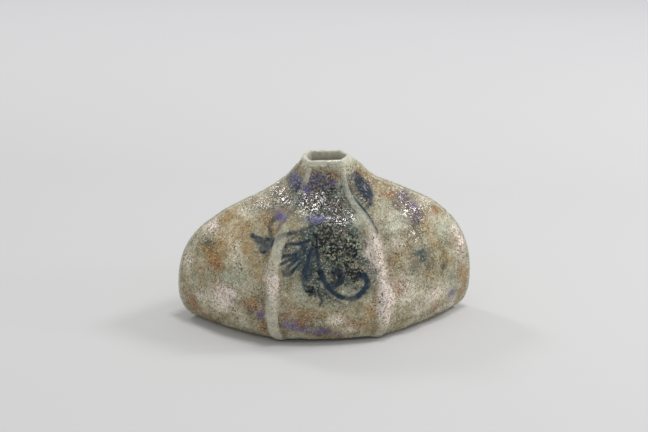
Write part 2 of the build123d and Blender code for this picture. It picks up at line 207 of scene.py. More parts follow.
# painting and fired colour, places on the front are right and up in mm
painting = {
    "brush": {  # cobalt scroll and leaf spray: points, width at start, width at end, depth of colour
        "scroll": ([(-6.0, 62.0), (-6.6, 54.7), (-5.5, 47.3), (-3.3, 39.6), (1.2, 33.0), (6.8, 29.0),
                    (12.3, 27.5), (17.5, 29.7), (21.3, 34.5), (20.2, 39.2),
                    (16.4, 40.3)], 0.8, 1.8, 1.0),
        "curl": ([(-4.8, 44.0), (-2.4, 38.1), (2.1, 35.9), (6.3, 38.1), (6.8, 41.8),
                  (3.7, 43.3)], 1.2, 2.4, 0.95),
        "stem": ([(-7.1, 61.3), (-9.7, 54.3), (-12.3, 47.3), (-13.5, 41.1), (-12.1, 34.5),
                  (-9.6, 33.0)], 1.2, 2.2, 0.9),
        "stemWash": ([(-8.2, 54.7), (-10.2, 48.1), (-11.3, 42.2)], 2.6, 2.2, 0.6),
        "leafUpper": ([(-9.8, 59.8), (-16.2, 58.0), (-22.2, 57.6), (-25.4, 54.7), (-25.8, 51.4),
                       (-23.3, 52.1), (-18.3, 52.8), (-13.4, 57.2)], 0.8, 0.8, 0.85),
        "leafMiddle": ([(-12.1, 56.5), (-18.4, 51.4), (-23.5, 49.2), (-27.2, 47.3)], 0.85, 0.75, 0.8),
        "leafLower": ([(-12.7, 54.3), (-18.4, 49.5), (-24.2, 44.4), (-24.8, 42.5), (-22.6, 42.5),
                       (-18.8, 45.8), (-14.0, 49.9)], 0.95, 0.95, 0.9),
        "leafSmall": ([(-13.2, 51.0), (-15.8, 47.7), (-17.1, 45.5)], 0.8, 0.7, 0.6),
        "longLeaf": ([(-3.8, 68.6), (-9.5, 65.7), (-16.0, 63.8), (-22.9, 62.4),
                      (-28.4, 59.8)], 0.75, 0.95, 0.75),
        "longVein": ([(-4.7, 67.1), (-11.1, 63.5), (-16.1, 62.4), (-21.6, 59.8)], 0.5, 0.5, 0.45),
        "sideLeaf": ([(-41.5, 59.1), (-37.5, 58.3), (-32.7, 58.7), (-28.6, 59.4),
                      (-25.0, 61.6)], 1.3, 1.0, 0.9),
        "sideLobe": ([(-38.8, 57.6), (-35.4, 56.1), (-36.3, 53.2), (-32.1, 56.1),
                      (-29.2, 59.1)], 2.0, 1.4, 0.9),
        "sideStem": ([(-31.5, 61.3), (-31.7, 64.9), (-29.8, 67.5), (-25.3, 70.1)], 1.2, 0.9, 0.75),
        "ridgeStroke": ([(-27.0, 64.2), (-22.7, 69.3), (-17.4, 74.5), (-13.7, 77.8)], 0.8, 0.8, 0.55),
        "shoulderLeaf": ([(17.6, 86.2), (21.1, 82.2), (24.3, 78.5), (25.8, 75.2)], 2.2, 1.8, 0.95),
        "shoulderLobe": ([(19.6, 82.4), (21.6, 78.6), (23.4, 75.6)], 2.3, 1.9, 0.95),
        "shoulderCurl": ([(26.1, 75.9), (25.5, 73.0), (23.2, 71.5)], 1.3, 0.8, 0.9),
        "shoulderEdge": ([(11.4, 86.2), (13.4, 82.2), (16.1, 78.5)], 0.7, 0.6, 0.4),
        "ridgeLine": ([(15.2, 75.6), (20.5, 71.6), (23.9, 67.2), (27.6, 60.9)], 0.7, 0.9, 1.0),
        "tail": ([(-5.1, 30.8), (-4.4, 27.1), (-5.3, 24.6)], 1.0, 0.6, 0.65),
        "root": ([(-2.3, 31.9), (3.0, 27.1), (8.6, 24.6)], 0.6, 0.5, 0.45),
    },
    # each patch: right, up, spread right, spread up, strength
    "dark": [(-8.5, 76.5, 4.6, 4, 0.9), (-5.5, 80, 4, 2.6, 0.8), (7, 72, 5, 4, 0.6), (47, 69, 4, 3, 0.3),
             (53, 62, 4, 3, 0.3), (-14, 80, 3, 4, 0.5), (-3, 80, 5.5, 4, 0.9), (0, 75, 7, 5, 0.9),
             (5, 70.5, 6, 4.5, 0.9), (-7, 77, 4, 4, 0.6), (-3, 84.5, 5, 2.4, 0.6),
             (2.5, 86, 4, 2.2, 0.5), (0.5, 81, 4, 2.4, 0.5), (-3.6, 79.2, 3.3, 3.9, 0.8),
             (-2.6, 74.1, 3.6, 4.7, 0.7), (0.8, 70.1, 4.0, 4.7, 0.8), (-1.3, 66.4, 4.3, 4.7, 0.9),
             (2.1, 60.9, 5.8, 4.7, 0.9), (9.4, 56.9, 5.8, 4.7, 0.9), (12.5, 51.4, 4.3, 5.4, 0.9),
             (5.1, 52.8, 5.1, 4.7, 0.7), (-4.5, 57.2, 4.3, 4.7, 0.7), (-2.2, 62.0, 4.3, 3.9, 0.8),
             (4.7, 41.1, 3.6, 3.5, 0.9), (16.4, 40.0, 3.3, 2.7, 0.8), (-9.9, 33.0, 3.3, 2.7, 0.9),
             (-5.7, 43.3, 2.5, 3.1, 0.6), (12.7, 44.7, 2.9, 4.7, 0.6), (-4.5, 89.1, 4.3, 2.3, 0.5),
             (-13.4, 81.8, 3.6, 3.1, 0.5), (21.8, 79.6, 3.6, 4.7, 0.7), (22.9, 75.6, 2.5, 3.1, 0.6),
             (3.9, 88.4, 2.2, 1.6, 0.3), (1.1, 55.8, 5.1, 3.9, 0.6), (7.8, 47.7, 4.3, 3.9, 0.5)],
    "gloss": [(-9.4, 76.3, 5.2, 3.7, 1), (-6, 79.2, 4.6, 2.8, 0.9), (-1.6, 85.5, 5.8, 2.8, 0.7),
              (6, 73, 5.2, 4.1, 1), (10.1, 67.9, 5.2, 4.7, 1), (3.9, 60.5, 5.8, 5.4, 0.25),
              (9.4, 51.4, 5.2, 5.4, 0.2), (9, 40.7, 5.8, 6, 0.15), (44.8, 71.2, 4.6, 3.3, 0.9),
              (49.6, 66.4, 4.6, 4.3, 1), (52.7, 60.9, 4.1, 4.2, 0.9), (47.7, 53.9, 4.6, 4.8, 1),
              (42.7, 58, 3.5, 3.6, 0.5), (-25.4, 79.6, 4.1, 2.4, 1), (-24, 77, 3.5, 2.4, 0.8),
              (-35.4, 72.6, 4.1, 1.8, 0.5), (20.1, 80.3, 4.6, 3.6, 0.6), (62.2, 65.3, 4.1, 3.3, 0.5),
              (40, 74.5, 3.5, 2.2, 0.6)],
    "violet": [(-18, 86, 2.6, 3.4, 0.6), (-3.6, 87.3, 5.2, 2.4, 1), (1.1, 83.6, 5.2, 2, 1),
               (-9.8, 81.4, 2.9, 2.4, 0.7), (-14.7, 84.7, 2.3, 2.8, 0.6), (-25.7, 70.1, 3.5, 2, 0.8),
               (-6, 69, 5.2, 1.3, 0.9), (44.3, 72.3, 3.5, 2.3, 0.7), (51.8, 64.2, 2.9, 3.4, 0.7),
               (50.5, 67.9, 2.3, 2.1, 0.5), (-22.1, 13.2, 4.6, 2.4, 0.7), (-14.8, 10.3, 5.2, 2.4, 0.8),
               (-5.6, 8.8, 5.2, 1.8, 0.7), (3.5, 6.6, 5.2, 1.8, 0.5), (73.6, 14.3, 2.9, 3, 0.6),
               (-38.2, 17.2, 2.3, 3, 0.6), (31.3, 25.3, 2.9, 4.2, 0.25), (13.3, 85.8, 2.3, 1.6, 0.4)],
    "rust": [(-15, 90, 3, 2, 0.5), (26, 82, 4, 3, 0.5), (30, 78, 5, 3, 0.35),
             (-62.7, 40.3, 2.9, 4.2, 0.9), (-77.5, 12.8, 2.9, 4.8, 0.8), (-72.6, 7, 4.6, 2.4, 0.5),
             (35.9, 40, 2.3, 5.4, 0.8), (40.1, 28.2, 2.9, 4.2, 0.8), (19.4, 88, 2.3, 2, 0.7),
             (22.9, 85.5, 2.9, 1.6, 0.6), (38.2, 74.8, 4.6, 1.7, 0.8), (65.2, 63.5, 3.5, 2.9, 0.7),
             (59, 61.6, 3.5, 3, 0.5), (-20.8, 24.2, 3.5, 3, 0.6), (-13.8, 18.7, 5.2, 3.6, 0.7),
             (-24.8, 18.3, 2.9, 3.6, 0.6), (-16.7, 13.2, 3.5, 2.4, 0.4), (15.2, 11.4, 5.8, 2.4, 0.7),
             (23.8, 9.2, 4.6, 2.4, 0.6), (-37.6, 8.4, 4.1, 2.4, 0.8), (-44.2, 21.3, 4.1, 3, 0.6),
             (80.7, 24.9, 2.3, 4.2, 0.7), (80.6, 13.9, 2.3, 3.6, 0.5), (63.9, 8.4, 3.5, 1.8, 0.7),
             (48.1, 47.7, 4.6, 3, 0.4), (57.6, 33, 3.5, 4.8, 0.5), (5.8, 86.6, 2.9, 2.4, 0.6),
             (10.8, 74.1, 2.3, 2.2, 0.5)],
    "ochre": [(-30, 72, 9, 5, 0.6), (-58, 50, 8, 8, 0.5), (-32, 66, 6, 4, 0.5), (-42, 46, 6, 6, 0.4),
              (-55.1, 62.7, 7.5, 4.7, 0.8), (-45.3, 63.8, 5.2, 4.6, 0.7), (-61.6, 52.1, 6.4, 4.8, 0.7),
              (-63.1, 43.3, 5.8, 6, 0.8), (-45.4, 53.6, 4.6, 4.2, 0.8), (-73.8, 35.6, 4.1, 4.8, 0.6),
              (-38, 40.7, 4.1, 3.6, 0.8), (-41.1, 26.4, 5.2, 5.4, 0.6), (-69.4, 26.4, 5.2, 3.6, 0.4),
              (-53, 57.6, 5.2, 3, 0.4), (-18.8, 75.6, 4.1, 3.8, 0.5), (-32.1, 73, 5.2, 2.3, 0.4),
              (8.4, 18.3, 5.2, 3.6, 0.5), (23.8, 18.7, 4.6, 5.4, 0.6), (-2.6, 20.9, 4.6, 3.6, 0.4),
              (79.8, 5.9, 3.5, 5.4, 0.8), (81.7, 22, 2.3, 5.4, 0.6), (65.6, 13.2, 5.2, 3, 0.4),
              (56.8, 58, 4.6, 4.8, 0.4), (61, 49.2, 4.6, 4.2, 0.4), (68.9, 34.8, 5.8, 4.2, 0.5),
              (31.8, 78.5, 5.2, 2, 0.5), (39.7, 46.9, 4.6, 4.8, 0.4), (-16.3, 62.4, 4.6, 4.8, 0.4),
              (-67, 12.8, 5.2, 3, 0.5)],
    "cream": [(-68, 16, 7, 5, 0.5), (-50, 14, 6, 4, 0.4), (48, 26, 7, 6, 0.5), (70, 20, 7, 7, 0.4),
              (52, 12, 7, 4, 0.4), (-48, 34, 6, 6, 0.4), (-64.6, 57.2, 5.2, 3.6, 0.9),
              (-70.3, 54.7, 3.5, 3, 0.6), (-53, 53.2, 5.2, 7.2, 0.6), (-78.5, 39.6, 2.9, 4.8, 0.7),
              (-79.2, 27.9, 2.3, 4.2, 0.6), (-59.8, 17.6, 5.2, 3.6, 0.6), (-44.7, 67.1, 4.6, 2.7, 0.7),
              (-35.3, 74.5, 5.2, 1.7, 0.5), (-49, 45.1, 5.8, 3.6, 0.4), (39.9, 60.9, 5.2, 2.0, 0.5),
              (36.3, 67.5, 4.1, 3.7, 0.5), (61.8, 61.3, 3.5, 2.4, 0.4), (67.9, 57.2, 4.6, 4.2, 0.5),
              (63.6, 17.2, 5.2, 3.6, 0.6), (43.2, 21.3, 5.2, 4.8, 0.6), (73.2, 2.6, 4.6, 2.4, 0.7),
              (4, 15.4, 4.6, 3.6, 0.8), (12.5, 8.1, 4.6, 1.8, 0.6), (-19.2, 28.2, 4.6, 3, 0.3),
              (11.6, 89.5, 2.9, 2.4, 0.5), (4.7, 92.1, 4.6, 1.2, 0.6), (29.9, 16.1, 3.5, 5.4, 0.5),
              (76, 51, 3.5, 3.6, 0.5)],
    "pink": [(25.5, 50, 4.2, 9, 1), (29, 38, 3.6, 8, 0.8), (31, 24, 4.4, 9, 1), (-32, 32, 3.6, 11, 0.8),
             (77, 50, 4, 6, 0.6), (-62, 22, 6, 5, 0.5), (55, 14, 6, 4, 0.5), (-65.6, 57.6, 4.6, 3, 0.8),
             (-55.8, 26.8, 5.2, 4.2, 0.9), (-57.7, 19.4, 4.1, 3, 0.8), (-73.3, 18.3, 2.9, 2.4, 0.5),
             (-30.9, 37.4, 2.9, 6, 0.9), (24.7, 53.9, 2.9, 6, 0.9), (27, 46.2, 2.9, 6, 0.9),
             (30.7, 24.9, 3.5, 7.2, 0.9), (31.8, 13.9, 2.9, 4.8, 0.6), (79.6, 40, 2.9, 6, 1),
             (62.9, 19.4, 5.2, 3.6, 0.7), (69.9, 7, 5.8, 2.4, 0.7), (42.3, 30.1, 3.5, 4.8, 0.5),
             (38.2, 52.5, 4.1, 3.6, 0.4), (4.7, 14.7, 4.1, 3, 0.7), (11.4, 11, 3.5, 2.4, 0.5),
             (57.2, 69.7, 3.5, 2.5, 0.4), (35.4, 23.5, 2.9, 3.6, 0.6), (45.4, 38.9, 2.9, 4.8, 0.4),
             (-79, 35.6, 2.3, 4.2, 0.4)],
    "mint": [(-55.9, 34.8, 5.8, 3.6, 0.9), (-47.5, 42.9, 7, 5.4, 0.7), (-72.1, 33.7, 3.5, 3.6, 0.4),
             (-74.6, 25.7, 3.5, 3.6, 0.5), (-65.6, 23.5, 4.1, 3, 0.5), (39.9, 66, 5.2, 4.9, 0.8),
             (44.3, 62.4, 4.6, 3.6, 0.6), (68.8, 51, 4.1, 4.8, 0.6), (56.3, 45.5, 5.2, 3.6, 0.4),
             (47.6, 34.5, 4.6, 4.2, 0.5), (14.8, 53.6, 3.5, 7.2, 0.6), (-16.2, 34.1, 5.2, 6, 0.5),
             (-18.7, 42.2, 4.1, 4.8, 0.4), (0.2, 24.6, 5.2, 3, 0.4), (-31.8, 22.4, 2.9, 7.2, 0.8),
             (8.8, 32.6, 7, 3.6, 0.4), (-25.6, 72.3, 3.5, 2.8, 0.3), (17.3, 65.3, 2.9, 4.4, 0.5),
             (58.9, 15.8, 3.5, 3.6, 0.3)],
    "slate": [(8, 38, 8, 6, 0.8), (-8, 46, 5, 9, 0.6), (-17, 84, 5, 6, 0.7), (-3, 81, 9, 6, 1),
              (-11, 80, 4, 5, 0.6), (3.8, 75.2, 10, 8, 1.3), (-1.0, 69.7, 9.4, 7, 0.9),
              (5.6, 61.6, 13, 12, 1.3), (2.2, 49.2, 14, 13, 1.1), (-7.4, 52.1, 5.8, 15.5, 0.7),
              (11.9, 39.2, 12, 11, 0.75), (-2.3, 36.3, 11, 9, 0.65), (-17.1, 50.3, 10.9, 10.1, 0.55),
              (-22, 75, 6, 4, 0.6), (-30, 72, 6, 4, 0.5), (-38, 70, 6, 3, 0.35),
              (21.5, 38.5, 5.1, 8.5, 0.35), (21.8, 79.6, 8.0, 8.5, 0.5), (-35.5, 56.5, 6.5, 5.4, 0.4),
              (-12.6, 82.5, 5.1, 5.4, 0.45), (-66.9, 49.5, 4.1, 3, 0.8), (53, 43, 6, 4.5, 1),
              (50.9, 37, 7, 4.8, 0.5), (70.4, 44.7, 2.9, 3.6, 0.4), (67.5, 33.7, 2.3, 3, 0.6),
              (73.3, 23.8, 3.5, 3.6, 0.4), (-37.2, 27.1, 3.5, 4.2, 0.4), (-45.8, 18.3, 4.6, 3, 0.5),
              (34.1, 58.3, 4.6, 4.2, 0.4), (-16, 71.9, 4.1, 4.2, 0.4), (-54, 22.7, 2.3, 2.4, 0.4),
              (-77.7, 45.5, 2.9, 3, 0.3)],
    "brown": [(43, 57, 6, 3, 0.5), (36, 71, 5, 4, 0.4), (46, 69, 7, 5, 0.7), (53, 62, 6, 5, 0.45),
              (-27, 75, 7, 4, 0.5), (-38, 70, 7, 4, 0.35), (44, 70, 7, 4, 0.35), (52, 64, 6, 4, 0.3),
              (-70.4, 3.3, 7, 1.8, 0.6), (-77.8, 9.9, 2.9, 3, 0.6), (33.6, 32.6, 2.3, 9.6, 0.4),
              (-11, 6.6, 10.4, 1.8, 0.7), (8.7, 5.5, 10.4, 1.5, 0.5), (-37.5, 13.6, 2.9, 4.8, 0.5),
              (57, 37, 6, 6, 0.8), (-20, 14, 9, 7, 0.5), (-8, 10, 12, 5, 0.5), (34.5, 42, 3, 9, 0.6),
              (-27.8, 15, 2.3, 6, 0.6), (53.4, 51.4, 5.2, 4.8, 0.4), (45.9, 73, 4.6, 2.7, 0.4),
              (59.3, 7.7, 7, 1.8, 0.4), (-24.7, 75.9, 4.6, 2.9, 0.4), (3.1, 89.9, 4.6, 2, 0.4)],
    "backPatches": {"dark": 0, "gloss": 10, "violet": 5},
    "otherBackPatches": 16,
    "brushLoad": 1.02,
    "brushSteps": 60,
    "brushReach": 6,
    "wander": 0.45,  # how ragged a stroke's edge is, in mm
    "flow": 0.55,  # how unevenly the cobalt lies
    "breakUp": 1.5,  # how far clouds break up a patch
}
patchKinds = ["dark", "gloss", "violet", "rust", "ochre", "cream", "pink", "mint", "slate", "brown"]


def backPatches(kind):
    # the far side carries the same glaze, scattered afresh
    chance = np.random.default_rng(40 + patchKinds.index(kind))
    patches = []
    for _ in range(painting["backPatches"].get(kind, painting["otherBackPatches"])):
        right = chance.uniform(-76, 76)
        up = chance.uniform(6, 84)
        wide = chance.uniform(3, 8)
        tall = chance.uniform(3, 7)
        patches.append((right, up, wide, tall, chance.uniform(0.35, 0.7)))
    return patches


def softPatches(points, patches):
    total = np.zeros(len(points))
    for x, z, dx, dz, amount in patches:
        total += amount * np.exp(-((points[:, 0] - x) / dx) ** 2 - ((points[:, 2] - z) / dz) ** 2)
    return total


def brushMarks(points):
    # depth of cobalt left by each stroke, with a ragged edge
    depth = np.zeros(len(points))
    wander = painting["wander"] * clouds(points, 2.2, 2, 71)
    flow = np.clip(0.9 + painting["flow"] * clouds(points, 3.5, 2, 72), 0.3, 1.1)
    steps = painting["brushSteps"]
    for path, wide, narrow, strength in painting["brush"].values():
        path = np.array(path, float)
        knots = np.concatenate([[0], np.cumsum(np.linalg.norm(np.diff(path, axis=0), axis=1))])
        at = np.linspace(0, knots[-1], steps)
        line = np.stack([smoothThrough(knots, path[:, 0], at), smoothThrough(knots, path[:, 1], at)], 1)
        low = line.min(0) - painting["brushReach"]
        high = line.max(0) + painting["brushReach"]
        inReach = (points[:, 0] > low[0]) & (points[:, 0] < high[0]) & (points[:, 1] < 0)
        inReach &= (points[:, 2] > low[1]) & (points[:, 2] < high[1])
        close = np.where(inReach)[0]
        if len(close) == 0:
            continue
        gap = np.linalg.norm(points[close][:, None, [0, 2]] - line[None], axis=2)
        nearest = gap.argmin(1)
        width = painting["brushLoad"] * (wide + (narrow - wide) * nearest / (steps - 1))
        edge = gap[np.arange(len(close)), nearest] + wander[close]
        mark = strength * smoothStep(width * 1.35 + 0.35, width * 0.45, edge) * flow[close]
        depth[close] = np.maximum(depth[close], mark)
    return depth


def glazeMasks(points):
    # what lies where on the outside, each from 0 to 1
    front = smoothStep(1.5, -1.5, points[:, 1])
    masks = {}
    for number, kind in enumerate(patchKinds):
        onFront = softPatches(points, painting[kind])
        onBack = softPatches(points, backPatches(kind))
        spread = front * onFront + (1 - front) * onBack
        masks[kind] = np.clip(spread * (1 + painting["breakUp"] * clouds(points, 5, 4, 20 + number)), 0, 1)
    masks["blue"] = np.clip(front * brushMarks(points), 0, 1)
    return masks


# relief of the fired glaze, heights and sizes in mm
reliefBuild = {
    "swell": 0.45, "swellSize": 24,
    "dent": 0.24, "dentSize": 7,
    "grit": 0.10, "gritSize": 1.5,
    "pit": 0.16, "pitSize": 2.4,
    "drop": 0.55, "dropSize": 4.0,  # glossy glaze gathers in drops
    "calm": 0.8,  # how far gloss fills grit and pits
}


def glazeRelief(points, masks):
    # height of the fired surface over the plain wall, and how far a spot lies in a pit
    build = reliefBuild
    warp = np.stack([clouds(points, 3.6, 2, 51), clouds(points, 3.6, 2, 52), clouds(points, 3.6, 2, 53)], 1)
    near, far = cells(points + warp * 2.0, build["dropSize"], 5)
    dome = smoothStep(0.0, 0.55, far - near)
    toPit = cells(points + warp * 0.6, build["pitSize"], 9)[0]
    pit = smoothStep(0.36, 0.12, toPit)
    grit = clouds(points, build["gritSize"], 2, 61)
    height = build["swell"] * clouds(points, build["swellSize"], 2, 3)
    height = height + build["dent"] * clouds(points, build["dentSize"], 2, 4)
    calm = 1 - build["calm"] * masks["gloss"]
    drops = masks["gloss"] * build["drop"] * (dome - 0.5)
    height += build["grit"] * grit * calm - build["pit"] * pit * calm + drops
    # painted shade: cavity marks the relief's pits and the hollows between drops, which the material darkens
    # brown
    cavity = np.clip(0.8 * pit + masks["gloss"] * (1 - dome) + 0.3 * np.maximum(0, -grit), 0, 1)
    return height, cavity


def zipBorders(fine, coarse, flip):
    # faces between a fine edge and a coarse one
    ratio = (len(fine) - 1) // (len(coarse) - 1)
    faces = []
    for j in range(len(coarse) - 1):
        for i in range(ratio):
            tip = coarse[j] if i < ratio // 2 else coarse[j + 1]
            faces.append((fine[j * ratio + i], fine[j * ratio + i + 1], tip))
        faces.append((fine[j * ratio + ratio // 2], coarse[j + 1], coarse[j]))
    return [face[::-1] for face in faces] if flip else faces


def slabShell(outer, inner):
    # closed slab from a fine outside grid and a coarse inside grid
    rows, columns = outer.shape[:2]
    innerRows, innerColumns = inner.shape[:2]
    index = np.arange(rows * columns).reshape(rows, columns)
    inside = np.arange(innerRows * innerColumns).reshape(innerRows, innerColumns) + rows * columns
    corners = (index[:-1, :-1], index[:-1, 1:], index[1:, 1:], index[1:, :-1])
    quads = np.stack(corners, -1).reshape(-1, 4).tolist()
    corners = (inside[:-1, :-1], inside[1:, :-1], inside[1:, 1:], inside[:-1, 1:])
    quads += np.stack(corners, -1).reshape(-1, 4).tolist()
    quads += zipBorders(index[0].tolist(), inside[0].tolist(), True)
    quads += zipBorders(index[-1].tolist(), inside[-1].tolist(), False)
    quads += zipBorders(index[:, 0].tolist(), inside[:, 0].tolist(), False)
    quads += zipBorders(index[:, -1].tolist(), inside[:, -1].tolist(), True)
    return np.concatenate([outer.reshape(-1, 3), inner.reshape(-1, 3)]), quads


def wholeSlab(masks, extra, insideLayer):
    # masks for a slab, whose added inside points all carry one layer: the painted inside shade for walls,
    # bare clay for beads
    whole = {}
    for kind, values in masks.items():
        whole[kind] = np.concatenate([values, np.full(extra, 1.0 if kind == insideLayer else 0.0)])
    return whole


def makePiece(name, points, faces, masks, material, slot, *nodes):
    mesh = bpy.data.meshes.new(name)
    mesh.from_pydata((np.asarray(points) * mm).tolist(), [], faces)
    work = bmesh.new()
    work.from_mesh(mesh)
    bmesh.ops.recalc_face_normals(work, faces=work.faces)
    work.to_mesh(mesh)
    work.free()
    mesh.polygons.foreach_set("use_smooth", np.ones(len(mesh.polygons), bool))
    for kind, values in masks.items():
        layer = mesh.attributes.new(kind, "FLOAT", "POINT")
        layer.data.foreach_set("value", np.asarray(values, np.float32))
    mesh.materials.append(material)
    piece = bpy.data.objects.new(name, mesh)
    scene.collection.objects.link(piece)
    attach(piece, "root")
    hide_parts(*nodes)
    print(name, len(points), "points")
    return piece


# fired surface, colours as seen under white light
glazeLook = {
    "celadon": (0.35, 0.338, 0.222),
    "olive": (0.25, 0.188, 0.072),
    "cream": (0.80, 0.76, 0.60),
    "mint": (0.43, 0.48, 0.375),
    "slate": (0.050, 0.090, 0.085),
    "ochre": (0.40, 0.245, 0.080),
    "rust": (0.33, 0.135, 0.042),
    "brown": (0.085, 0.048, 0.026),
    "pink": (0.92, 0.79, 0.70),
    "cobalt": (0.0135, 0.0325, 0.0570),
    "blueBlack": (0.0040, 0.0085, 0.0100),
    "violet": (0.12, 0.098, 0.27),
    "bare": (0.645, 0.63, 0.51),
    "bareDeep": (0.48, 0.475, 0.38),
    # inside colour, darkened as painted shade for the dim inside of the vessel
    "inside": (0.190, 0.178, 0.135),
    "coatRoughness": 0.05,
    "coatIor": 1.5,
    "specular": 0.18,
    "mattRoughness": 0.45,
    "glossRoughness": 0.20,
    "leastCoat": 0.06,
}
# each grain: size in mm, detail, shift, low, high
glazeGrains = {
    "broad": (13, 3, 0, 0.40, 0.60),
    "blotch": (6.0, 4, 1, 0.44, 0.62),
    "cloud": (3.6, 4, 2, 0.45, 0.64),
    "mottle": (2.2, 3, 3, 0.38, 0.62),
    "grain": (1.1, 2, 4, 0.36, 0.64),
    "fine": (0.75, 2, 8, 0.30, 0.70),
    "darkSpecks": (0.9, 2, 5, 0.55, 0.61),
    "rustSpecks": (1.15, 1, 6, 0.58, 0.65),
    "paleSpecks": (1.05, 1, 7, 0.57, 0.64),
    "cluster": (8, 2, 9, 0.47, 0.58),
    "network": (1.35, 5, 10, 0.42, 0.58),
}
# patches from the lowest up: colour, grain that breaks it up, least cover, added cover
glazePatches = [("mint", "mottle", 0.7, 0.35), ("ochre", "mottle", 0.75, 0.35), ("cream", "mottle", 0.7, 0.4),
                ("brown", "mottle", 0.35, 0.6), ("rust", "grain", 0.5, 0.5), ("pink", "mottle", 0.8, 0.35),
                ("slate", "network", 0.72, 0.4)]


def addNode(tree, kind, **inputs):
    node = tree.nodes.new(kind)
    for key, value in inputs.items():
        node.inputs[key].default_value = value
    return node


def glazeMaterial(name, bareSpecks):
    material = bpy.data.materials.new(name)
    material.use_nodes = True
    tree = material.node_tree
    link = tree.links.new
    shader = tree.nodes["Principled BSDF"]
    place = tree.nodes.new("ShaderNodeTexCoord").outputs["Object"]

    def noise(size, detail, shift, low, high):
        moved = tree.nodes.new("ShaderNodeVectorMath")
        moved.inputs[1].default_value = (shift * 0.317, shift * 0.171, shift * 0.253)
        link(place, moved.inputs[0])
        made = addNode(tree, "ShaderNodeTexNoise", Scale=1 / (size * mm), Detail=detail, Roughness=0.6)
        link(moved.outputs["Vector"], made.inputs["Vector"])
        ranged = addNode(tree, "ShaderNodeMapRange")
        ranged.inputs["From Min"].default_value = low
        ranged.inputs["From Max"].default_value = high
        link(made.outputs["Fac"], ranged.inputs["Value"])
        return ranged.outputs["Result"]

    def sums(operation, first, second, third=None, clamp=True):
        made = tree.nodes.new("ShaderNodeMath")
        made.operation = operation
        made.use_clamp = clamp
        for socket, value in zip(made.inputs, (first, second, third)):
            if value is None:
                continue
            if isinstance(value, (int, float)):
                socket.default_value = value
            else:
                link(value, socket)
        return made.outputs["Value"]

    def mask(kind):
        made = tree.nodes.new("ShaderNodeAttribute")
        made.attribute_name = kind
        return made.outputs["Fac"]

    def layer(under, colour, factor):
        made = tree.nodes.new("ShaderNodeMix")
        made.data_type = "RGBA"
        link(factor, made.inputs["Factor"])
        for socket, value in ((made.inputs[6], under), (made.inputs[7], colour)):
            if isinstance(value, tuple):
                socket.default_value = (*value, 1)
            else:
                link(value, socket)
        return made.outputs[2]

    def washed(kind, grain, least, gain):
        # a patch whose edge is broken up by a grain
        return sums("MULTIPLY", mask(kind), sums("MULTIPLY_ADD", grain, gain, least, False))

    def speckled(cover, grain, crisp):
        # grains of a colour, more of them where the cover is higher
        return sums("MULTIPLY_ADD", sums("ADD", cover, grain, None, False), crisp, 0.5 - crisp)

    grains = {kind: noise(*values) for kind, values in glazeGrains.items()}
    darkSpecks = grains["darkSpecks"]
    colour = layer(glazeLook["celadon"], glazeLook["olive"], grains["broad"])
    colour = layer(colour, glazeLook["mint"], sums("MULTIPLY", grains["cloud"], 0.45))
    colour = layer(colour, glazeLook["cream"], sums("MULTIPLY", grains["blotch"], 0.42))
    # the brown patches also carry the painted shadow beside the front and back seams
    for kind, grain, least, gain in glazePatches:
        colour = layer(colour, glazeLook[kind], washed(kind, grains[grain], least, gain))

    # specks, thicker in rust, in pink and in clusters
    rustShare = sums("MULTIPLY_ADD", mask("rust"), 0.5, 0.25)
    colour = layer(colour, glazeLook["rust"], sums("MULTIPLY", grains["rustSpecks"], rustShare))
    colour = layer(colour, glazeLook["cream"], sums("MULTIPLY", grains["paleSpecks"], 0.35))
    pinkShare = sums("MULTIPLY_ADD", mask("pink"), 0.35, 0.4)
    speckShare = sums("MULTIPLY_ADD", grains["cluster"], 0.5, pinkShare)
    colour = layer(colour, glazeLook["brown"], sums("MULTIPLY", darkSpecks, speckShare))

    # cobalt brushwork, then the blue black that ran over it
    colour = layer(colour, glazeLook["cobalt"], washed("blue", grains["mottle"], 0.9, 0.3))
    soot = speckled(sums("MULTIPLY", mask("dark"), 0.72), grains["network"], 1.8)
    sootCover = sums("MULTIPLY", mask("dark"), 4.0)
    colour = layer(colour, glazeLook["blueBlack"], sums("MULTIPLY", soot, sootCover))
    colour = layer(colour, glazeLook["violet"], washed("violet", grains["mottle"], 0.5, 0.5))
    # painted shade: brown laid into the relief's pits and hollows on walls and seams; on the collar the
    # cavity mask is random blotches
    colour = layer(colour, glazeLook["brown"], sums("MULTIPLY", mask("cavity"), 0.45))

    # uneven depth of the glaze, bare clay on top of it
    shade = tree.nodes.new("ShaderNodeVectorMath")
    shade.operation = "SCALE"
    link(colour, shade.inputs[0])
    fineDepth = sums("MULTIPLY_ADD", grains["fine"], 0.5, 0.66, False)
    link(sums("MULTIPLY_ADD", grains["mottle"], 0.22, fineDepth, False), shade.inputs["Scale"])
    edge = layer(glazeLook["bare"], glazeLook["bareDeep"], grains["cloud"])
    edge = layer(edge, glazeLook["brown"], sums("MULTIPLY", darkSpecks, bareSpecks))
    colour = layer(shade.outputs["Vector"], edge, mask("bare"))
    # painted shade: inside faces and the inside of the mouth take the darkened inside colour
    colour = layer(colour, glazeLook["inside"], mask("inside"))
    link(colour, shader.inputs["Base Color"])

    gloss = mask("gloss")
    matt = glazeLook["mattRoughness"]
    link(sums("MULTIPLY_ADD", gloss, glazeLook["glossRoughness"] - matt, matt), shader.inputs["Roughness"])
    leastCoat = glazeLook["leastCoat"]
    link(sums("MULTIPLY_ADD", gloss, 1 - leastCoat, leastCoat), shader.inputs["Coat Weight"])
    shader.inputs["Specular IOR Level"].default_value = glazeLook["specular"]
    shader.inputs["Coat Roughness"].default_value = glazeLook["coatRoughness"]
    shader.inputs["Coat IOR"].default_value = glazeLook["coatIor"]

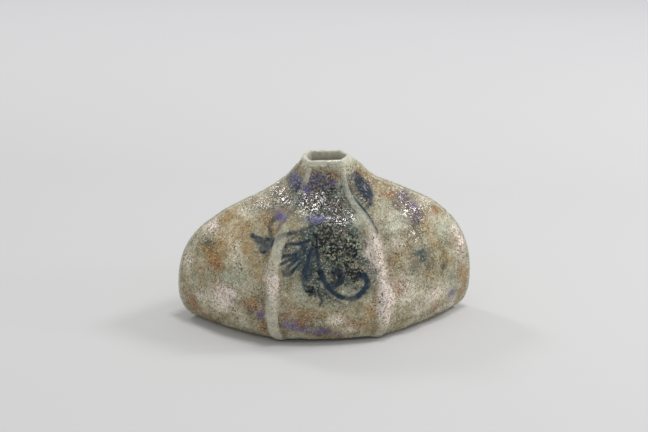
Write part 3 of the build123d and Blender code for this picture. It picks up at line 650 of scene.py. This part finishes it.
    bump = addNode(tree, "ShaderNodeBump", Strength=0.4, Distance=0.1 * mm)
    link(sums("MULTIPLY_ADD", darkSpecks, -0.5, grains["grain"], False), bump.inputs["Height"])
    link(bump.outputs["Normal"], shader.inputs["Normal"])
    return material


wallGlaze = glazeMaterial("wallGlaze", 0.25)
seamGlaze = glazeMaterial("seamGlaze", 0.35)
rimGlaze = glazeMaterial("rimGlaze", 0.08)
print("glazes mixed")

# walls
wallBuild = {
    "rows": 353,
    "columns": 193,
    "insideStep": 16,  # every so many outside points has one inside
    "footBare": 0.9,
    "wingBare": 0.5,
    "shoulderBare": 1.0,
    "neckThin": 2.6,  # thinner inside the neck
    "topTuck": 0.35,  # under the collar
    "footTuck": 0.5,
    "sideLift": 0.1,
    "seamPaintedShadow": 0.5,  # painted shadow beside a seam, laid in as brown
}
levels = riseLevels(wallBuild["rows"])


def bareEdges(points, lift):
    # wiped foot, pale wing edges and pale mouth
    ragged = clouds(points, 2.5, 2, 81)
    wiped = wallBuild["footBare"]
    foot = smoothStep(wiped + 0.5, wiped - 0.5, points[:, 2] - lift + 0.7 * ragged)
    mouth = smoothStep(92.0, 94.6, points[:, 2] + 2.2 * ragged)
    reach = np.abs(points[:, 1]) + 1.0 * ragged
    edge = wallBuild["wingBare"] + wallBuild["shoulderBare"] * smoothStep(45, 68, points[:, 2])
    wing = smoothStep(edge + 0.9, edge - 0.6, reach) * smoothStep(20, 26, np.abs(points[:, 0]))
    return np.maximum(np.maximum(foot * 0.8, mouth), wing * 0.75)


for wall in wallBetween:
    across = np.linspace(0, 1, wallBuild["columns"])[None, :]
    if wall in ("front_wall", "back_wall"):
        lift = np.full_like(across, vessel["frontLift"])
    else:
        towards = across if "Wing" in wallBetween[wall][0] else 1 - across
        lift = wallBuild["sideLift"] + vessel["frontLift"] * smoothStep(0.86, 1.0, towards)
    height = lift + (vessel["wallTop"] - lift) * levels[:, None]
    across = np.broadcast_to(across, height.shape)
    plain = wallPoint(wall, across, height)
    normals = gridNormals(plain)
    flat = plain.reshape(-1, 3)
    masks = glazeMasks(flat)
    relief, cavity = glazeRelief(flat, masks)
    footLine = np.broadcast_to(lift, height.shape).ravel()
    relief -= wallBuild["topTuck"] * smoothStep(93.6, 94.5, flat[:, 2])
    relief -= wallBuild["footTuck"] * smoothStep(1.4, 0.0, flat[:, 2] - footLine)
    masks["cavity"] = cavity
    masks["bare"] = bareEdges(flat, footLine)
    width = wallWidth(wall, height[:, :1])
    # painted shadow: brown laid in beside the raised front and back seams, fading out between 55 and 75 mm up
    for share, ridge in zip((across, 1 - across), wallBetween[wall]):
        if "Wing" not in ridge:
            beside = (share * width).ravel()
            shade = wallBuild["seamPaintedShadow"] * np.exp(-((beside - 5.5) / 1.6) ** 2)
            masks["brown"] = np.clip(masks["brown"] + shade * smoothStep(75, 55, flat[:, 2]), 0, 1)
    outer = (flat + normals.reshape(-1, 3) * relief[:, None]).reshape(plain.shape)
    step = wallBuild["insideStep"]
    inset = vessel["wallThickness"] - wallBuild["neckThin"] * smoothStep(80, 92, height[::step, ::step, None])
    inner = plain[::step, ::step] - normals[::step, ::step] * inset
    centre = plain[::step, [wallBuild["columns"] // 2]]
    inner = inner + (centre - plain[::step, ::step]) * [0.09, 0.09, 0]  # inside is narrower than outside
    points, faces = slabShell(outer, inner)
    points[:, 2] = np.maximum(points[:, 2], 0.02)  # nothing under the table
    extra = len(points) - len(flat)
    # painted shade: the wall's inside faces take the darkened inside colour
    masks["inside"] = np.zeros(len(flat))
    masks = wholeSlab(masks, extra, "inside")
    makePiece(wall.replace("_", ".") + ".slab", points, faces, masks, wallGlaze, "glazed_wall", wall)

# seam beads along the ridges, feathered into the walls
beadBuild = {
    "rows": 353,
    "columns": 49,
    "halfWidth": 5.2, "mouthHalfWidth": 2.8, "wingHalfWidth": 2.0,
    "proud": 1.15, "mouthProud": 0.4, "footProud": 0.4, "wingProud": 0.5,
    "sink": 0.4,  # edges of the bead lie this far in the wall
    "depth": 1.8,
    "top": 94.4,
    "blur": 60, "wingBlur": 16,  # rounds of smoothing over the fold
    "wingBare": 0.8,
}
beads = {
    "right_seam_bead": "rightWing",
    "back_right_seam_bead": "backRight",
    "back_left_seam_bead": "backLeft",
    "left_seam_bead": "leftWing",
    "front_left_seam_bead": "frontLeft",
    "front_right_seam_bead": "frontRight",
}
# how bare a seam is on its way up: height, share
seamBare = {
    "frontLeft": [(0, 0.75), (18, 0.7), (30, 0.4), (42, 0.5), (56, 0.7),
                  (60, 0.45), (64, 0.12), (82, 0.1), (87, 0.5), (96, 0.9)],
    "frontRight": [(0, 0.4), (20, 0.3), (45, 0.25), (57, 0.3), (66, 0.4), (80, 0.42), (88, 0.6), (96, 0.9)],
}
for bead, ridge in beads.items():
    before = [wall for wall, pair in wallBetween.items() if pair[1] == ridge][0]
    after = [wall for wall, pair in wallBetween.items() if pair[0] == ridge][0]
    onWing = "Wing" in ridge
    lift = 0.15 if onWing else vessel["frontLift"] * 0.9
    rise = riseLevels(beadBuild["rows"])[:, None]
    height = lift + (beadBuild["top"] - lift) * rise
    t = np.linspace(-1, 1, beadBuild["columns"])[None, :]
    high = smoothStep(60, 82, height)
    if onWing:
        halfWidth = beadBuild["wingHalfWidth"] * np.ones_like(height)
        proud = beadBuild["wingProud"] * np.ones_like(height)
    else:
        halfWidth = beadBuild["halfWidth"] + (beadBuild["mouthHalfWidth"] - beadBuild["halfWidth"]) * high
        proud = beadBuild["proud"] + (beadBuild["mouthProud"] - beadBuild["proud"]) * high
        proud = proud - (beadBuild["proud"] - beadBuild["footProud"]) * smoothStep(9, 1, height)
    proud = proud - (proud + 0.6) * smoothStep(91.5, 94.2, height)
    height = np.broadcast_to(height, (beadBuild["rows"], beadBuild["columns"]))
    away = np.abs(t) * halfWidth
    onBefore = wallPoint(before, 1 - away / wallWidth(before, height), height)
    onAfter = wallPoint(after, away / wallWidth(after, height), height)
    base = np.where((t < 0)[..., None], onBefore, onAfter)
    for _ in range(beadBuild["wingBlur"] if onWing else beadBuild["blur"]):  # round the fold
        base[:, 1:-1] = 0.25 * base[:, :-2] + 0.5 * base[:, 1:-1] + 0.25 * base[:, 2:]
    normals = gridNormals(base)
    bell = (1 - np.abs(t) ** 2.2) ** 2
    crest = (bell * np.ones_like(height)).ravel()
    flat = base.reshape(-1, 3)
    masks = glazeMasks(flat)
    relief, cavity = glazeRelief(flat, masks)
    relief = relief * (1 - 0.35 * crest) + ((proud + beadBuild["sink"]) * bell - beadBuild["sink"]).ravel()
    ragged = clouds(flat, 3, 3, 83)
    # painted shade in the bead's pits and hollows, less on its crest
    masks["cavity"] = cavity * (1 - 0.6 * crest)
    strength = beadBuild["wingBare"]
    if not onWing:
        way = np.array(seamBare.get(ridge, seamBare["frontRight"]), float)
        strength = np.interp(flat[:, 2], way[:, 0], way[:, 1])
    pale = smoothStep(0.1, 0.6, crest + 0.3 * ragged) * strength * (1 - 0.6 * masks["pink"])
    masks["bare"] = np.maximum(bareEdges(flat, lift), pale)
    outer = (flat + normals.reshape(-1, 3) * relief[:, None]).reshape(base.shape)
    inner = (base - normals * beadBuild["depth"])[::16, ::8]
    points, faces = slabShell(outer, inner)
    points[:, 2] = np.maximum(points[:, 2], 0.02)  # nothing under the table
    extra = len(points) - len(flat)
    masks["inside"] = np.zeros(len(flat))
    masks = wholeSlab(masks, extra, "bare")
    makePiece(bead.replace("_", "."), points, faces, masks, seamGlaze, "pale_seam", bead)

# mouth collar, a six-sided ring with a soft lip
collarBuild = {
    "around": 288,
    "wall": 2.5,
    "top": 96.6,
    "lip": 1.15,
    "foot": 90.0,
    "insideFoot": 78.0,
    "insideSlope": 2.2,
    "cornerBlur": 16,
    "outsideRings": 16,
    "insideRings": 22,
    "wobble": (0.35, 0.35, 0.45),
    "pores": 0.06,
}


def mouthOutline(height):
    corners = np.array([ridgeAt(ridge, np.array(height)) for ridge in ringOfRidges])
    closed = np.concatenate([corners, corners[:1]])
    line = []
    for a, b in zip(closed, closed[1:]):
        t = np.linspace(0, 1, 200, endpoint=False)[:, None]
        side = b - a
        line.append(a + side * t + np.array([side[1], -side[0]]) * vessel["bow"] * 4 * t * (1 - t))
    loop = np.concatenate(line + [line[0][:1]])
    way = np.concatenate([[0], np.cumsum(np.linalg.norm(np.diff(loop, axis=0), axis=1))])
    at = np.linspace(0, way[-1], collarBuild["around"], endpoint=False)
    ring = np.stack([np.interp(at, way, loop[:, 0]), np.interp(at, way, loop[:, 1])], 1)
    for _ in range(collarBuild["cornerBlur"]):
        ring = 0.25 * np.roll(ring, 1, 0) + 0.5 * ring + 0.25 * np.roll(ring, -1, 0)
    return ring


def collarRings():
    rings = []
    lip = collarBuild["lip"]
    brim = collarBuild["top"] - lip
    # outside, tucked under the wall tops
    for height in np.linspace(collarBuild["foot"], brim, collarBuild["outsideRings"]):
        rings.append((mouthOutline(height), 1.0 - smoothStep(93.2, 94.3, height), height))
    upper = mouthOutline(brim)
    half = collarBuild["wall"] / 2
    for angle in np.linspace(0, math.pi, 19)[1:-1]:
        rings.append((upper, half - half * math.cos(angle), brim + lip * math.sin(angle)))
    for height in np.linspace(brim, collarBuild["insideFoot"], collarBuild["insideRings"]):
        inward = collarBuild["wall"] + collarBuild["insideSlope"] * smoothStep(96.5, 84, height)
        rings.append((upper, inward, height))
    return rings


def collarGrid():
    grid = []
    for ring, inward, height in collarRings():
        tangent = np.roll(ring, -1, 0) - np.roll(ring, 1, 0)
        normal = np.stack([tangent[:, 1], -tangent[:, 0]], 1)
        normal /= np.linalg.norm(normal, axis=1, keepdims=True)
        flat = ring - normal * inward
        grid.append(np.concatenate([flat, np.full((len(flat), 1), height)], 1))
    return np.array(grid)


grid = collarGrid()
rows, columns = grid.shape[:2]
flat = grid.reshape(-1, 3)
wobble = np.stack([clouds(flat, 9, 2, 91), clouds(flat, 9, 2, 92), clouds(flat, 12, 2, 93)], 1)
pores = np.stack([clouds(flat, 1.8, 2, 94)] * 3, 1)
flat = flat + wobble * collarBuild["wobble"] + pores * collarBuild["pores"]
index = np.arange(rows * columns).reshape(rows, columns)
turn = np.roll(index, -1, 1)
faces = np.stack([index[:-1], turn[:-1], turn[1:], index[1:]], -1).reshape(-1, 4).tolist()
faces += np.stack([index[-1], turn[-1], turn[0], index[0]], -1).tolist()  # foot of the ring
masks = glazeMasks(flat)
masks["cavity"] = np.clip(clouds(flat, 3, 2, 95) * 0.4, 0, 1)
ringNumber = np.repeat(np.arange(rows), columns)
masks["bare"] = np.where(ringNumber > 14, 1.0, bareEdges(flat, 0))
# painted shade: darker deeper down the inside of the mouth
masks["inside"] = smoothStep(31.5, 41, ringNumber)
masks["gloss"] = masks["gloss"] * (1 - masks["bare"])
masks["gloss"] = np.maximum(masks["gloss"], 0.5 * (np.abs(ringNumber - 23) < 8))  # lip catches light
makePiece("mouth.collar", flat, faces, masks, rimGlaze, "pale_rim", "mouth_collar")

# floor plate, standing proud of the lifted front and back edges
floorBuild = {
    "around": 240,
    "inset": 3.4,
    "thickness": 6.8,
    "round": 0.8, "ease": 0.2, "edge": 0.9,  # how the lower edge is rounded off
    "bare": 0.8,
}
ring = []
for wall in wallBetween:
    share = np.linspace(0, 1, floorBuild["around"] // 6, endpoint=False)
    ring.append(wallPoint(wall, share, np.full_like(share, 1.0)))
ring = np.concatenate(ring)


def floorRing(inset, height):
    # outline of the foot, drawn in more at front and back than at the wings
    behind = np.abs(ring[:, 1])
    drawnIn = np.sign(ring[:, 1]) * np.maximum(behind - inset * (0.6 + behind / 40), 0)
    return np.stack([ring[:, 0] * (1 - inset / 75), drawnIn, np.full(len(ring), height)], 1)


inset = floorBuild["inset"]
plates = [
    floorRing(inset + floorBuild["round"], 0.0),
    floorRing(inset + floorBuild["ease"], floorBuild["ease"]),
    floorRing(inset, floorBuild["edge"]),
    floorRing(inset, floorBuild["thickness"]),
    [[0, 0, 0.0]],
    [[0, 0, floorBuild["thickness"]]],
]
flat = np.concatenate(plates)
count = len(ring)
faces = []
for row in range(3):
    for i in range(count):
        j = (i + 1) % count
        faces.append((row * count + i, row * count + j, (row + 1) * count + j, (row + 1) * count + i))
for i in range(count):
    j = (i + 1) % count
    faces.append((j, i, 4 * count))
    faces.append((3 * count + i, 3 * count + j, 4 * count + 1))
floorMasks = {kind: np.zeros(len(flat)) for kind in patchKinds + ["blue", "cavity"]}
floorMasks["bare"] = np.full(len(flat), floorBuild["bare"])
makePiece("floor.plate", flat, faces, floorMasks, seamGlaze, "glazed_floor", "floor_slab")

# coils inside keep their solids and get washed clay
coilLook = {"wash": (0.42, 0.40, 0.33), "deep": (0.26, 0.24, 0.19), "roughness": 0.6}


def clayMaterial(name):
    material = bpy.data.materials.new(name)
    material.use_nodes = True
    tree = material.node_tree
    shader = tree.nodes["Principled BSDF"]
    place = tree.nodes.new("ShaderNodeTexCoord")
    grain = addNode(tree, "ShaderNodeTexNoise", Scale=220, Detail=4)
    tree.links.new(place.outputs["Object"], grain.inputs["Vector"])
    ramp = tree.nodes.new("ShaderNodeValToRGB")
    ramp.color_ramp.elements[0].position = 0.35
    ramp.color_ramp.elements[0].color = (*coilLook["deep"], 1)
    ramp.color_ramp.elements[1].position = 0.65
    ramp.color_ramp.elements[1].color = (*coilLook["wash"], 1)
    tree.links.new(grain.outputs["Fac"], ramp.inputs["Fac"])
    tree.links.new(ramp.outputs["Color"], shader.inputs["Base Color"])
    shader.inputs["Roughness"].default_value = coilLook["roughness"]
    bump = addNode(tree, "ShaderNodeBump", Strength=0.4, Distance=0.2 * mm)
    tree.links.new(grain.outputs["Fac"], bump.inputs["Height"])
    tree.links.new(bump.outputs["Normal"], shader.inputs["Normal"])
    return material


washedClay = clayMaterial("washedClay")
for name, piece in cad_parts.items():
    if name.endswith("_coil"):
        piece.data.materials.clear()
        piece.data.materials.append(washedClay)
print("coils washed")

# studio
studio = {
    "floorSize": 8.0,
    # painted light: the paper runs from floorNear to floorFar, paler to the back and to the right, standing
    # for the fall of the studio light
    "floorNear": (0.62, 0.62, 0.62),
    "floorFar": (0.775, 0.775, 0.79),
    "nearEnd": 0.25,  # paper gets paler between these two, in metres to the back
    "farEnd": 0.85,
    "sideShare": 0.25,  # and to the right by this share
    "paperRoughness": 0.9,
    "paperSpecular": 0.1,
    "fill": 0.53,
    # each soft box: right, back, up, side length, power
    "softBoxes": [(0.18, -0.1, 1.25, 0.235, 4.7), (0.88, 0.14, 0.93, 0.27, 4.1),
                  (1.1, -0.28, 0.5, 0.15, 1.1), (-0.66, 0.74, 0.95, 0.22, 2.7)],
    "lampAim": (0, 0, 0.05),
}


def paperMaterial(name):
    material = bpy.data.materials.new(name)
    material.use_nodes = True
    tree = material.node_tree
    link = tree.links.new
    shader = tree.nodes["Principled BSDF"]
    place = tree.nodes.new("ShaderNodeTexCoord")
    axes = tree.nodes.new("ShaderNodeSeparateXYZ")
    link(place.outputs["Object"], axes.inputs["Vector"])
    slant = tree.nodes.new("ShaderNodeMath")
    slant.operation = "MULTIPLY_ADD"
    slant.inputs[1].default_value = studio["sideShare"]
    link(axes.outputs["X"], slant.inputs[0])
    link(axes.outputs["Y"], slant.inputs[2])
    ranged = tree.nodes.new("ShaderNodeMapRange")
    ranged.inputs["From Min"].default_value = studio["nearEnd"]
    ranged.inputs["From Max"].default_value = studio["farEnd"]
    link(slant.outputs["Value"], ranged.inputs["Value"])
    # painted light: paper made paler to the back and to the right
    paintedFalloff = tree.nodes.new("ShaderNodeMix")
    paintedFalloff.data_type = "RGBA"
    paintedFalloff.inputs[6].default_value = (*studio["floorNear"], 1)
    paintedFalloff.inputs[7].default_value = (*studio["floorFar"], 1)
    link(ranged.outputs["Result"], paintedFalloff.inputs["Factor"])
    link(paintedFalloff.outputs[2], shader.inputs["Base Color"])
    shader.inputs["Roughness"].default_value = studio["paperRoughness"]
    shader.inputs["Specular IOR Level"].default_value = studio["paperSpecular"]
    return material


half = studio["floorSize"] / 2
corners = [(-half, -half, 0), (half, -half, 0), (half, half, 0), (-half, half, 0)]
floorMesh = bpy.data.meshes.new("tableTop")
floorMesh.from_pydata(corners, [], [(0, 1, 2, 3)])
floorMesh.materials.append(paperMaterial("paper"))
tableTop = bpy.data.objects.new("tableTop", floorMesh)
scene.collection.objects.link(tableTop)

world = bpy.data.worlds.new("tent")
scene.world = world
world.use_nodes = True
background = world.node_tree.nodes["Background"]
background.inputs["Color"].default_value = (1, 1, 1, 1)
background.inputs["Strength"].default_value = studio["fill"]

for number, (right, behind, up, size, power) in enumerate(studio["softBoxes"]):
    lamp = bpy.data.lights.new(f"softBox{number}", "AREA")
    lamp.shape = "SQUARE"
    lamp.size = size
    lamp.energy = power
    box = bpy.data.objects.new(f"softBox{number}", lamp)
    scene.collection.objects.link(box)
    box.location = (right, behind, up)
    box.rotation_mode = "QUATERNION"
    box.rotation_quaternion = (Vector(studio["lampAim"]) - box.location).to_track_quat("-Z", "Y")
print("studio lit")

# camera
viewFrom = {
    "elevation": 20.0, "turn": 3.0, "roll": -0.7, "raise": 0.706,  # degrees
    "distance": 0.9,
    "middle": (0, 0, 0.048),
    "lens": 86.1,
    "sensor": 36.0,
}
cameraData = bpy.data.cameras.new("camera")
cameraData.lens = viewFrom["lens"]
cameraData.sensor_width = viewFrom["sensor"]
camera = bpy.data.objects.new("camera", cameraData)
scene.collection.objects.link(camera)
elevation = math.radians(viewFrom["elevation"])
turned = math.radians(viewFrom["turn"])
level = math.cos(elevation)
back = Vector((-math.sin(turned) * level, -math.cos(turned) * level, math.sin(elevation)))
camera.rotation_mode = "QUATERNION"
camera.location = Vector(viewFrom["middle"]) + back * viewFrom["distance"]
look = (-back).to_track_quat("-Z", "Y").to_matrix()
tilt = Matrix.Rotation(math.radians(viewFrom["raise"]), 3, "X")
roll = Matrix.Rotation(math.radians(viewFrom["roll"]), 3, "Z")
camera.rotation_quaternion = (look @ roll @ tilt).to_quaternion()
cameraData.clip_start = 0.05
cameraData.clip_end = 50
scene.camera = camera
scene.view_settings.view_transform = "Standard"
